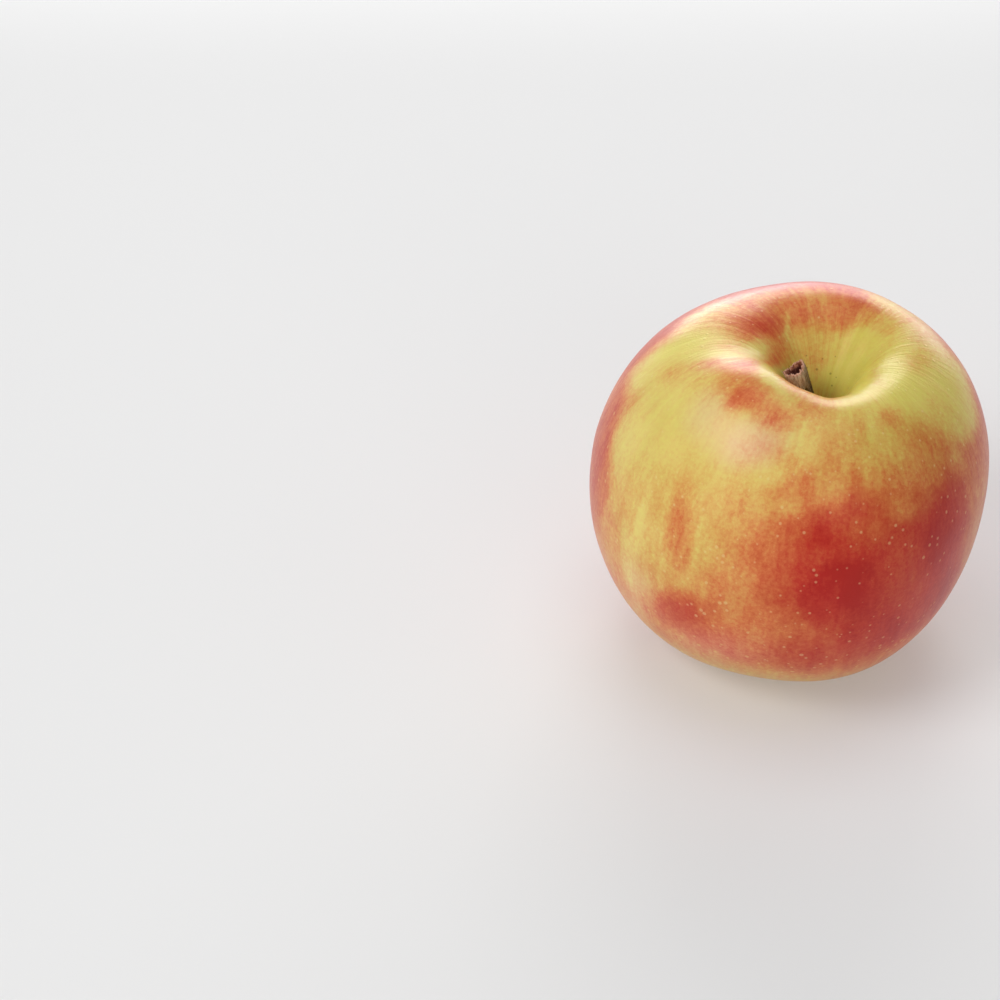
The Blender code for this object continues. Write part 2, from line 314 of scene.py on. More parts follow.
area("overhead_softbox", (0.0, 0.10, 1.30), (0, 0, 0.04), (0.9, 0.8), 1.7)
area("key_softbox", (-0.86, -0.46, 1.05), (0, 0, 0.04), (0.7, 0.6), 4.9)
area("back_window", (0.05, 1.28, 0.71), (0, 0, 0.05), (0.74, 0.38), 5.2)
area("back_wall", (0.25, 1.50, 0.36), (0, 0, 0.05), (1.8, 0.72), 3.2)
area("back_strip", (-0.22, 1.15, 0.09), (0, 0, 0.05), (0.50, 0.16), 5.0)
area("left_window", (-1.15, -0.75, 0.60), (0, 0, 0.03), (0.8, 0.8), 0.8)
area("left_low", (-0.95, -0.95, 0.28), (0, 0, 0.02), (1.0, 0.4), 1.6)
area("front_fill", (0.45, -1.85, 0.95), (0, 0, 0.03), (1.5, 0.9), 1.5)
area("right_reflector", (1.20, -0.30, 0.60), (0, 0, 0.03), (0.8, 0.8), 0.35)

floor_mesh = bpy.data.meshes.new("floor")
floor_mesh.from_pydata([(-4, -4, 0), (4, -4, 0), (4, 4, 0), (-4, 4, 0)], [], [(0, 1, 2, 3)])
floor = link(bpy.data.objects.new("floor", floor_mesh))
floor.location.z = -0.00005
floor_tree = Tree("floor_paper")
# the paper glows as painted light: a faint glow in front lifts the fruit's shadow, and it brightens gently beyond the
# fruit where the backlight would fall, weaker to the right and at the far left
floor_place = floor_tree.node("ShaderNodeSeparateXYZ")
floor_tree.put(floor_place.inputs[0], floor_tree.obj())
painted_floor_light = floor_tree.map(floor_place.outputs[1], 0.20, 0.50, 0.20, 1.5)
painted_floor_light = floor_tree.mul(painted_floor_light, floor_tree.map(floor_place.outputs[0], 0.0, 0.45, 1.0, 0.45))
painted_floor_light = floor_tree.mul(painted_floor_light, floor_tree.map(floor_place.outputs[0], -0.50, -0.10, 0.5, 1.0))
floor_mesh.materials.append(floor_tree.set(Base_Color=(0.64, 0.64, 0.64), Roughness=0.85, Emission_Color=(1.0, 1.0, 1.0), Emission_Strength=painted_floor_light))
floor_tree.shader.inputs["Specular IOR Level"].default_value = 0.1

# =============================================================== the fruit's mesh
ROUND = 476
COUNTS = (40, 52, 62, 34, 12)


def make_fruit():
    rows = profile(COUNTS)
    n = len(rows)
    angle = np.arange(ROUND) * TAU / ROUND
    R, Z, S, A = rows[:, 0:1], rows[:, 1:2], rows[:, 2:3], angle[None, :]

    # Puckers that run into the eye, and faint ribs down the wall of the stem cavity
    basin = step(3.12, 3.72, S) * (1 - step(4.0, 4.5, S))
    pucker = (
        0.42 * np.cos(5 * (A - LOBE_START - TAU / 10))
        + 0.17 * np.cos(11 * A + 1.3)
        + 0.10 * np.cos(18 * A + 0.4 + 1.5 * S)
    )
    ribs = step(0.05, 0.4, S) * (1 - step(0.75, 1.05, S)) * (0.16 * np.cos(7 * A + 0.7) + 0.09 * np.cos(12 * A + 2.4 + 0.8 * S))
    x, y, z = sculpt(R, Z, S, A)
    z = np.maximum(z + basin * pucker + ribs, 0.0)
    co = np.stack([x - MIDDLE[0], y - MIDDLE[1], z + 0 * x], -1)

    # The flesh is never perfectly even: a slow and a faster unevenness along the normal
    du = np.roll(co, -1, 1) - np.roll(co, 1, 1)
    dv = np.gradient(co, axis=0)
    nrm = np.cross(dv, du)
    nrm /= np.linalg.norm(nrm, axis=-1, keepdims=True) + 1e-9
    if nrm[n // 2, 0] @ np.array([1.0, 0, 0]) < 0:
        nrm = -nrm
    bumps = np.zeros(co.shape[:2])
    for i in range(n):
        for j in range(ROUND):
            p = Vector(co[i, j])
            bumps[i, j] = 0.085 * noise.noise(p / 11.0) + 0.030 * noise.noise(p / 4.6 + Vector((7, 3, 1)))
    keep = step(0.25, 0.7, S) * (1 - step(2.75, 2.95, S)) + 0.6 * step(3.1, 3.3, S) * (1 - step(4.0, 4.2, S))
    co = co + nrm * (bumps * keep)[..., None]
    co[..., 2] = np.maximum(co[..., 2], 0.0)

    inner = co[1:-1].reshape(-1, 3)
    verts = np.vstack([inner, co[0].mean(0)[None], co[-1].mean(0)[None]]) * MM
    m = n - 2
    top, bottom = m * ROUND, m * ROUND + 1
    i, j = np.meshgrid(np.arange(m - 1), np.arange(ROUND), indexing="ij")
    k = (j + 1) % ROUND
    quads = np.stack([i * ROUND + j, (i + 1) * ROUND + j, (i + 1) * ROUND + k, i * ROUND + k], -1).reshape(-1, 4)
    j = np.arange(ROUND)
    k = (j + 1) % ROUND
    cap = np.stack([np.full(ROUND, top), j, k], -1)
    base = (m - 1) * ROUND
    end = np.stack([np.full(ROUND, bottom), base + k, base + j], -1)
    mesh = bpy.data.meshes.new("fruit_skin")
    loops = np.concatenate([quads.ravel(), cap.ravel(), end.ravel()]).astype(np.int32)
    starts = np.concatenate([np.arange(len(quads)) * 4, len(quads) * 4 + np.arange(2 * ROUND) * 3]).astype(np.int32)
    mesh.vertices.add(len(verts))
    mesh.vertices.foreach_set("co", verts.astype(np.float32).ravel())
    mesh.loops.add(len(loops))
    mesh.loops.foreach_set("vertex_index", loops)
    mesh.polygons.add(len(starts))
    mesh.polygons.foreach_set("loop_start", starts)
    mesh.update(calc_edges=True)
    mesh.validate()
    mesh.shade_smooth()
    obj = link(bpy.data.objects.new("fruit_skin", mesh))
    # the turned rows run from the cavity to the eye; face them outwards
    bm = bmesh.new()
    bm.from_mesh(mesh)
    if bm.calc_volume(signed=True) < 0:
        bmesh.ops.reverse_faces(bm, faces=bm.faces)
        bm.to_mesh(mesh)
    bm.free()

    # Where each point is on the fruit: the angle round the core, the station, the arc length from the stem
    run = np.concatenate([[0], np.cumsum(np.hypot(np.diff(rows[:, 0]), np.diff(rows[:, 1])))])
    S2 = np.concatenate([np.repeat(rows[1:-1, 2], ROUND), [0.0, 5.0]])
    A2 = np.concatenate([np.tile(angle, m), [0.0, 0.0]])
    L2 = np.concatenate([np.repeat(run[1:-1], ROUND), [0.0, run[-1]]])
    R2 = np.concatenate([np.repeat(rows[1:-1, 0], ROUND), [0.0, 0.0]])
    uv = mesh.uv_layers.new(name="OFBake")
    li = np.zeros(len(mesh.loops), np.int32)
    mesh.loops.foreach_get("vertex_index", li)
    u = A2[li] / TAU
    v = 1 - L2[li] / run[-1]
    size = np.zeros(len(mesh.polygons), np.int32)
    mesh.polygons.foreach_get("loop_total", size)
    face = np.repeat(np.arange(len(size)), size)
    high = np.zeros(len(size))
    pole = li >= top
    np.maximum.at(high, face, np.where(pole, 0, u))
    u = np.where((high[face] > 0.9) & (u < 0.1) & ~pole, u + 1.0, u)
    low = np.full(len(size), 9.0)
    np.minimum.at(low, face, np.where(pole, 9.0, u))
    u = np.where(pole, low[face] + 0.5 / ROUND, u)
    uv.data.foreach_set("uv", np.stack([u, v], -1).astype(np.float32).ravel())
    return obj, A2, S2, L2, R2, run, rows


fruit, FA, FS, FL, FR, RUN, ROWS = make_fruit()


def arc(station):
    """Arc length from the stem, in mm, at a station of the profile."""
    return np.interp(station, ROWS[:, 2], RUN)


def patch(deg, station, across, along, strength, turn=0.0, edge=1.0):
    """A soft patch on the skin: where it lies, its half-widths in mm across and along the meridian, and how much it weighs."""
    at = np.interp(station, ROWS[:, 2], np.maximum(ROWS[:, 0], 3.0))
    da = (FA - math.radians(deg) + math.pi) % TAU - math.pi
    u = da * 0.5 * (at + np.maximum(FR, 2.0))
    v = FL - arc(station)
    c, s = math.cos(math.radians(turn)), math.sin(math.radians(turn))
    u, v = u * c + v * s, -u * s + v * c
    d = np.sqrt((u / across) ** 2 + (v / along) ** 2)
    return strength * (1 - step(1 - 0.75 * edge, 1 + 0.75 * edge, d))


def paint(base, patches):
    """Lays patches over a base value: each pulls the value towards its own level."""
    value = np.full(len(FA), float(base)) if np.isscalar(base) else base.copy()
    for deg, station, across, along, level, weight, *rest in patches:
        w = patch(deg, station, across, along, weight, *rest)
        value = value * (1 - w) + level * w
    return value


# Blush: how much red lies over the ground colour. (angle, station, half-width across, half-length along, level, weight, turn)
BLUSH = [
    # the sunny side, behind: red from shoulder to base
    (90, 1.9, 66.0, 52.0, 0.85, 1.0, 0),
    (150, 1.75, 30.0, 34.0, 0.7, 0.9, 0),
    (30, 1.8, 30.0, 30.0, 0.7, 0.9, 0),
    (60, 2.1, 26.0, 20.0, 0.95, 0.8, 0),
    (120, 1.62, 18.0, 16.0, 0.9, 0.7, 0),
    # the back of the rim, the cavity, the yellow flank, the front lip, the red cheek, the base
    (116, 0.87, 21.0, 6.0, 0.45, 0.9, 11),
    (-114, 1.4, 18.0, 12.0, 0.1, 1.0, -19),
    (-70, 1.99, 18.5, 27.5, 0.85, 1.0, -44),
    (-125, 1.94, 19.5, 13.0, 0.25, 1.0, -38),
    (-94, 2.18, 22.5, 10.0, 0.55, 1.0, -12),
    (147, 0.84, 5.5, 3.0, 0.65, 0.95, 10),
    (46, 0.88, 4.0, 3.0, 0.15, 0.7, -11),
    (152, 1.21, 5.5, 4.5, 0.15, 0.8, 13),
    (123, 0.78, 0.5, 4.0, 0.2, 0.85, 32),
    (20, 0.99, 6.5, 4.0, 0.15, 0.8, -15),
    (-6, 1.31, 6.5, 5.0, 0.05, 0.8, 12),
    (102, 0.67, 7.0, 3.0, 0.2, 0.9, 8),
    (177, 0.81, 5.5, 2.5, 0.1, 0.9, 22),
    (44, 0.53, 6.5, 4.0, 0.0, 0.95, -37),
    (130, 0.51, 4.5, 3.5, 0.1, 0.9, 11),
    (-146, 0.81, 20.5, 2.0, 0.05, 0.95, 42),
    (46, 0.75, 5.5, 2.5, 0.05, 0.9, -31),
    (12, 1.23, 6.5, 5.0, 0.15, 0.9, 22),
    (-10, 1.44, 11.5, 4.5, 0.1, 0.85, 5),
    (-174, 1.15, 2.0, 5.5, 0.0, 0.9, 20),
    (-64, 1.55, 6.0, 3.5, 0.15, 0.85, 20),
    (-100, 1.61, 5.0, 2.0, 0.25, 0.9, -11),
    (-166, 1.69, 11.0, 4.5, 0.15, 0.8, 41),
    (-46, 2.04, 6.5, 14.0, 1.0, 0.9, -27),
    (-35, 1.12, 11.5, 7.0, 0.05, 1.0, 20),
    (-15, 0.91, 7.0, 3.5, 0.0, 0.95, -29),
    (22, 0.59, 5.5, 6.5, 0.0, 0.95, 26),
    (6, 0.93, 6.0, 3.5, 0.05, 0.8, -35),
    (52, 1.15, 4.5, 6.5, 0.1, 0.8, -45),
    (173, 1.27, 5.5, 9.5, 0.0, 0.95, 1),
    (-150, 1.52, 14.0, 11.0, 0.1, 1.0, 20),
    (-137, 1.84, 10.5, 12.0, 0.2, 0.95, 10),
    (-177, 1.49, 8.5, 4.0, 0.05, 0.85, -23),
    (168, 1.78, 12.0, 5.0, 0.6, 0.8, -42),
    (-162, 2.11, 4.5, 7.0, 0.35, 0.8, 23),
    (-129, 1.1, 4.5, 2.5, 0.4, 0.95, -16),
    (-130, 1.19, 3.0, 2.0, 0.6, 0.75, -28),
    (-114, 1.18, 4.5, 2.5, 0.5, 0.95, 6),
    (-97, 1.07, 4.5, 2.5, 0.35, 0.9, -6),
    (-66, 1.38, 5.5, 7.0, 0.15, 0.95, 3),
    (-55, 1.19, 2.5, 2.0, 0.45, 0.7, 9),
    (-85, 1.47, 3.0, 4.5, 0.3, 0.8, -12),
    (-96, 1.91, 6.5, 10.0, 0.6, 1.0, -8),
    (-60, 1.87, 9.5, 16.5, 0.8, 1.0, -19),
    (-79, 1.92, 7.5, 10.5, 1.0, 1.0, -19),
    (-44, 1.87, 4.5, 9.5, 1.0, 0.9, 3),
    (-60, 1.65, 4.0, 2.5, 0.4, 0.7, 29),
    (-64, 2.14, 10.5, 6.0, 0.95, 0.9, 30),
    (-128, 1.83, 3.0, 7.5, 0.45, 0.8, -11),
    (-110, 2.0, 5.5, 6.5, 0.45, 0.95, 33),
    (-125, 2.15, 7.5, 4.5, 0.7, 0.95, -29),
    (-139, 2.12, 4.5, 6.5, 0.25, 0.8, 26),
    (-80, 2.23, 9.0, 6.0, 0.8, 0.9, -1),
    (-38, 1.82, 5.0, 7.0, 0.85, 0.85, 4),
    (101, 1.01, 14.0, 2.5, 0.35, 0.6, 12),
    (34, 1.21, 7.0, 5.5, 0.1, 0.7, 37),
    (-81, 1.79, 8.0, 2.5, 0.7, 0.7, -6),
    (-44, 1.96, 5.0, 10.0, 1.0, 0.8, -22),
    (-16, 1.55, 7.0, 3.5, 0.1, 0.8, 15),
    (-72, 1.7, 5.5, 3.0, 0.6, 0.8, 14),
    (-155, 1.87, 4.5, 5.0, 0.25, 0.8, 14),
    (-108, 1.48, 4.0, 3.0, 0.1, 0.8, -15),
    (-164, 1.24, 5.0, 2.5, 0.1, 0.7, -27),
    (-48, 0.75, 3.0, 11.5, 0.0, 0.95, 44),
    (-170, 0.96, 4.5, 2.5, 0.1, 0.7, 37),
    (2, 0.65, 11.0, 2.0, 0.0, 0.95, -33),
]
# Pale cream patches: painted highlight, soft sheen laid into the skin colour. (angle, station, half-width across,
# half-length along, level, weight, turn)
PAINTED_SHEEN_PATCHES = [
    (24, 1.27, 4.5, 6.8, 0.4, 0.8, -28),
    (-117, 1.37, 6.4, 4.1, 0.55, 0.9, -21),
    (-138, 1.35, 5.2, 4.1, 0.4, 0.8, 21),
    (-156, 1.0, 2.8, 6.3, 0.3, 0.8, 44),
    (-113, 2.28, 10.3, 5.4, 0.45, 0.9, -21),
    (-142, 2.17, 5.7, 7.7, 0.35, 0.8, 26),
]
GROUND = [
    (0, 0.0, 40, 17, 0.80, 1.0),
    (-20, 1.0, 18, 12, 0.75, 0.9),
    (20, 0.7, 12, 8, 0.7, 0.8),
    (-66, 1.40, 10, 12, 0.50, 0.8),
    (-40, 1.45, 12, 12, 0.60, 0.8),
    (-110, 2.6, 30, 12, 0.6, 0.8),
    (0, 3.6, 60, 18, 0.9, 1.0),
]
blush = paint(0.28, BLUSH)
inside = 1 - step(0.15, 0.50, FS)
blush = blush * (1 - 0.95 * inside)
under = step(2.75, 3.35, FS)
blush = blush * (1 - 0.75 * under) + 0.10 * under
ground = paint(0.22, GROUND)
# painted highlight: how far the skin is pulled towards pale cream
painted_sheen = paint(0.0, PAINTED_SHEEN_PATCHES)
russet = np.clip(1 - step(0.02, 0.22, FS), 0, 1) * 0.9 + 0.75 * step(3.55, 3.95, FS)
size_of_dots = 0.55 + 0.45 * step(1.2, 2.6, FS) - 0.35 * (1 - step(0.5, 0.95, FS))

point_attribute(fruit, "meridian", np.stack([np.cos(FA), np.sin(FA), FL / 40.0], -1))
point_attribute(fruit, "blush", np.clip(blush, 0, 1))
point_attribute(fruit, "ground", np.clip(ground, 0, 1))
point_attribute(fruit, "russet", np.clip(russet, 0, 1))
point_attribute(fruit, "dots", np.clip(size_of_dots, 0, 1))
point_attribute(fruit, "painted_sheen", np.clip(painted_sheen, 0, 1))
point_attribute(fruit, "deep", np.clip(step(0.10, 0.22, FS) * (1 - step(0.50, 0.72, FS)), 0, 1))

YELLOW, GREEN = srgb(232, 217, 122), srgb(206, 200, 82)
TINTS = [
    (0.0, (1.0, 1.0, 1.0)),
    (0.14, (0.98, 0.86, 0.92)),
    (0.32, (0.94, 0.55, 0.60)),
    (0.50, (0.88, 0.29, 0.36)),
    (0.68, (0.77, 0.140, 0.21)),
    (0.84, (0.70, 0.060, 0.13)),
    (1.0, (0.60, 0.024, 0.080)),
]


def skin_material():
    t = Tree("apple_skin")
    mer, blush_, ground_, russet_, dots_, deep_ = t.attr("meridian", True), t.attr("blush"), t.attr("ground"), t.attr("russet"), t.attr("dots"), t.attr("deep")
    painted_sheen_ = t.attr("painted_sheen")
    obj = t.obj()
    # streaks follow the meridians but waver
    wander = t.vec("SUBTRACT", t.noise(obj, 55.0, 2.0, colour=True), (0.5, 0.5, 0.5))
    flow = t.vec("ADD", mer, t.vec("MULTIPLY", wander, (0.10, 0.10, 0.25)))
    broad = t.noise(t.vec("MULTIPLY", flow, (6.0, 6.0, 1.3)), 1.0, 2.0)
    middle = t.noise(t.vec("MULTIPLY", flow, (22.0, 22.0, 2.8)), 1.0, 2.0, 0.6)
    fine = t.noise(t.vec("MULTIPLY", flow, (60.0, 60.0, 9.0)), 1.0, 3.0, 0.65)
    flow_blot = t.vec("MULTIPLY", flow, (13.0, 13.0, 6.5))
    clump = t.noise(obj, 100.0, 2.0, 0.55)
    blot = t.noise(flow_blot, 1.0, 3.0, 0.62)
    mottle = t.noise(obj, 1150.0, 3.0, 0.72)

    def centred(v, gain):
        return t.mul(t.math("SUBTRACT", v, 0.5), gain)

    swing = t.add(centred(broad, 0.22), centred(middle, 0.22), centred(fine, 0.05), centred(clump, 0.26), centred(blot, 0.34), centred(mottle, 0.46))
    # the swing is widest where the blush is half way, least on bare ground
    room = t.map(blush_, 0.0, 0.34, 0.45, 1.0)
    red = t.math("ADD", blush_, t.mul(swing, room), clamp=True)

    g = t.math("ADD", ground_, t.add(centred(clump, 0.5), centred(broad, 0.4)), clamp=True)
    base = t.mix(g, YELLOW, GREEN)
    # painted highlight: the cream patches, broken up by the clumps, pull the base towards a pale pinkish cream
    base = t.mix(t.mul(painted_sheen_, t.map(clump, 0.25, 0.6, 0.6, 1.0)), base, srgb(238, 208, 178))
    tint = t.ramp(red, TINTS)
    colour = t.mix(1.0, base, tint, "MULTIPLY")
    # pale lenticels, and darker specks down in the cavity
    cells = t.voronoi(obj, 470.0)
    dot_size = t.mul(dots_, t.map(t.noise(obj, 140.0, 1.0), 0.3, 0.7, 0.08, 0.21))
    dot = t.map(t.math("SUBTRACT", dot_size, cells.outputs["Distance"]), -0.080, 0.045)
    pale = t.mix(red, srgb(230, 214, 134), srgb(226, 160, 122))
    colour = t.mix(t.mul(dot, 0.56), colour, pale)
    speck = t.map(t.math("SUBTRACT", t.mul(deep_, 0.17), t.voronoi(obj, 760.0).outputs["Distance"]), -0.05, 0.04)
    colour = t.mix(t.mul(speck, 0.55), colour, srgb(112, 104, 40))
    # corky net at the bottom of the cavity and round the eye
    net = t.noise(t.vec("MULTIPLY", mer, (14.0, 14.0, 9.0)), 1.0, 5.0, 0.7)
    cork = t.map(t.add(russet_, centred(net, 1.1)), 0.45, 0.95)
    colour = t.mix(t.mul(cork, 0.75), colour, srgb(140, 116, 60))

    rough = t.add(0.32, centred(mottle, 0.12), t.mul(cork, 0.35), t.mul(dot, 0.12))
    height = t.add(t.mul(mottle, 0.5), t.mul(t.noise(obj, 2400.0, 2.0), 0.3), t.mul(middle, 1.2), t.mul(blot, 1.0), t.mul(dot, 0.6), t.mul(net, t.mul(cork, 2.0)))
    normal = t.bump(height, 0.50, 0.00010)
    m = t.set(Base_Color=colour, Roughness=rough, Normal=normal, Subsurface_Weight=0.12, Subsurface_Radius=(0.0028, 0.0012, 0.0006), IOR=1.45)
    t.shader.inputs["Subsurface Scale"].default_value = 1.0
    t.shader.inputs["Specular Tint"].default_value = (0.90, 0.46, 0.36, 1.0)
    return m


fruit.data.materials.append(skin_material())
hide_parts("fruit")
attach(fruit, "root")

# =============================================================== the stem: a stub broken off at a ragged, hollow end
STEM_RISE, STEM_LEAN, STEM_GAP = 13.70, (-4.58, 0.70), 0.55
STEM_RADII = ((-0.08, 3.0), (-0.03, 2.2), (0.03, 1.65), (0.10, 1.42), (0.20, 1.38), (0.34, 1.44), (0.60, 1.60), (0.80, 1.88), (0.92, 2.26), (1.0, 2.24))
STEM_FOOT = at_fruit(0, HEIGHT - CAVITY_DEPTH, 0, 0) / MM + Vector((0, 0, STEM_GAP))


def stem_axis(s):
    bend = max(s, 0.0) ** 1.4
    return STEM_FOOT + Vector((STEM_LEAN[0] * bend, STEM_LEAN[1] * bend, STEM_RISE * s))


def stem_frame(s):
    """Two directions across the stem: one to the right (+X side), one to the back."""
    along = (stem_axis(s + 0.01) - stem_axis(s - 0.01)).normalized()
    back = Vector((0, 0, 1)).cross(Vector((1, 0, 0)))
    right = back.cross(along).normalized()
    return right, along.cross(right).normalized(), along


def bell(a, centre, width):
    d = (a - centre + math.pi) % TAU - math.pi
    return math.exp(-(d / width) ** 2)


def stem_rim(a):
    """How far the torn edge stands above or below the nominal end, in mm."""
    return (
        0.75 * bell(a, 0.55, 0.42) + 0.30 * bell(a, -0.35, 0.35) - 0.45 * bell(a, 2.2, 0.55) - 0.25 * bell(a, -1.3, 0.5) + 0.25 * bell(a, 3.3, 0.3)
        + 0.38 * noise.noise(Vector((3.1 * math.cos(a), 3.1 * math.sin(a), 4.0)))
        + 0.40 * noise.noise(Vector((9.0 * math.cos(a), 9.0 * math.sin(a), 9.0)))
    )


def make_stem():
    n = 160
    verts, tone, rows = [], [], []

    def ring(points, look):
        rows.append(len(verts))
        verts.extend(points)
        tone.extend(look)

    outer = [-0.08, -0.055, -0.03, 0.0] + [0.03 + 0.97 * (k / 44) for k in range(45)]
    for s in outer:
        right, back, along = stem_frame(s)
        r0 = float(np.interp(s, *zip(*STEM_RADII)))
        pts, look = [], []
        top = max(0.0, (s - 0.55) / 0.45)
        for j in range(n):
            a = j * TAU / n
            reach = stem_rim(a) * max(0.0, (s - 0.80) / 0.20) ** 1.5
            p = Vector((math.cos(a), math.sin(a), 0))
            ridge = 0.050 * math.sin(5 * a + 1.1) + 0.035 * math.sin(9 * a + 2.0 + s)
            bark = noise.noise(Vector((4.5 * p.x, 4.5 * p.y, 5 * s + 2)))
            fibre = noise.noise(Vector((15 * p.x, 15 * p.y, 2.6 * s)))
            tuft = noise.noise(Vector((8 * p.x, 8 * p.y, 3.5 * s + 7)))
            r = r0 * (1 + 0.6 * ridge) + 0.12 * bark + (0.05 + 0.13 * top) * fibre + 0.10 * top * tuft
            r *= 1 - 0.10 * bell(a, 2.6, 0.5) * top
            pts.append(stem_axis(s) + right * (p.x * r) + back * (p.y * r) + along * reach)
            look.append((s, 0.0, 0.5 + fibre * 0.9))
        ring(pts, look)
    # over the torn edge and down into the hollow
    # the third number darkens the colour down the hollow: first the broken end's own red-brown, then painted shade at
    # the bottom
    inner = ((0.10, 0.10, 0.15), (0.26, 0.16, 0.35), (0.42, 0.02, 0.6), (0.56, -0.25, 0.8), (0.66, -0.60, 0.95), (0.76, -1.00, 1.0), (0.92, -1.45, 1.0), (1.2, -1.80, 1.0), (1.6, -2.00, 1.0))
    right, back, along = stem_frame(1.0)
    edge = [verts[rows[-1] + j].copy() for j in range(n)]
    centre = stem_axis(1.0)
    for inward, down, dark in inner:
        pts, look = [], []
        for j in range(n):
            a = j * TAU / n
            rim = edge[j]
            flat = rim - centre
            flat = flat - along * flat.dot(along)
            size = flat.length
            keep = max(0.12, size - inward * (0.9 + 0.5 * noise.noise(Vector((5 * math.cos(a), 5 * math.sin(a), 2 * inward + 3)))))
            level = (rim - centre).dot(along) * math.exp(-1.2 * max(0.0, -down)) + down + 0.16 * noise.noise(Vector((7 * math.cos(a), 7 * math.sin(a), 4 * inward)))
            wall = 0.14 * noise.noise(Vector((11 * math.cos(a), 11 * math.sin(a), 1.5 * down + 2))) * min(1.0, inward * 2)
            pts.append(centre + flat * ((keep + wall) / size) + along * level)
            look.append((1.0, dark, 0.5 + 0.9 * noise.noise(Vector((15 * math.cos(a), 15 * math.sin(a), 3.0)))))
        ring(pts, look)
    faces = []
    for a0, b0 in zip(rows[:-1], rows[1:]):
        faces += [(a0 + j, a0 + (j + 1) % n, b0 + (j + 1) % n, b0 + j) for j in range(n)]
    last = rows[-1]
    verts.append(sum((verts[last + j] for j in range(n)), Vector()) / n - along * 0.05)
    tone.append((1.0, 1.0, 0.5))
    faces += [(last + j, last + (j + 1) % n, len(verts) - 1) for j in range(n)]
    first = rows[0]
    verts.append(stem_axis(-0.08))
    tone.append((-0.08, 0.0, 0.5))
    faces += [(first + (j + 1) % n, first + j, len(verts) - 1) for j in range(n)]

    # loose fibres along the torn end
    def fibre(a, s0, s1, width, lift, lean, bright):
        base = len(verts)
        steps = 7
        for k in range(steps):
            f = k / (steps - 1)
            s = s0 + (s1 - s0) * f
            right_, back_, along_ = stem_frame(min(s, 1.0))
            ang = a + lean * f + 0.03 * math.sin(9 * f + a * 5)
            rr = float(np.interp(min(s, 1.0), *zip(*STEM_RADII))) * (1 - 0.10 * bell(ang, 2.6, 0.5)) + 0.02 + lift * f * f
            out = right_ * math.cos(ang) + back_ * math.sin(ang)
            side = along_.cross(out).normalized()
            c = stem_axis(min(s, 1.0)) + along_ * (max(0.0, s - 1.0) * STEM_RISE + stem_rim(ang) * max(0.0, (min(s, 1.0) - 0.80) / 0.20) ** 1.5) + out * rr
            w = width * (1 - 0.85 * f ** 1.5) * (0.55 + 0.45 * min(1.0, f * 4))
            for q in range(6):
                t = q * TAU / 6
                verts.append(c + side * (w * math.cos(t)) + out * (w * 0.7 * math.sin(t)))
                tone.append((min(s, 1.0), -bright, 0.5 + 0.3 * math.sin(7 * a + k)))
        for k in range(steps - 1):
            for q in range(6):
                i0, i1 = base + 6 * k + q, base + 6 * k + (q + 1) % 6
                faces.append((i0, i1, i1 + 6, i0 + 6))
        faces.append(tuple(base + q for q in reversed(range(6))))
        faces.append(tuple(base + 6 * (steps - 1) + q for q in range(6)))

    for k in range(46):
        h1, h2, h3 = (math.modf(abs(math.sin(12.9898 * k + c) * 43758.5453))[0] for c in (1.0, 2.3, 4.7))
        a = (k + 0.6 * h1) * TAU / 46
        front = bell(a, -2.2, 1.1)
        fibre(a, 0.56 + 0.24 * h2, 0.965 + 0.065 * h3 + 0.02 * front, 0.085 + 0.09 * h1 + 0.05 * front, 0.03 + 0.22 * h3, 0.16 * (h2 - 0.5), 0.35 + 0.65 * front)

    obj = mesh_object("stem_stub", [v * MM for v in verts], faces)
    tone = np.array(tone)
    point_attribute(obj, "tone", tone)
    # which way each point faces round the stem: 1 at the front left, where the bleached fibres are
    co = np.array([v for v in verts], float)
    axis = np.array([stem_axis(float(s)) for s in tone[:, 0]], float)
    d = co - axis
    ang = np.arctan2(d[:, 1], d[:, 0])
    point_attribute(obj, "bleached", np.clip(0.5 + 0.75 * np.cos(ang + 2.25), 0, 1) * step(0.70, 0.90, tone[:, 0]))
    return obj


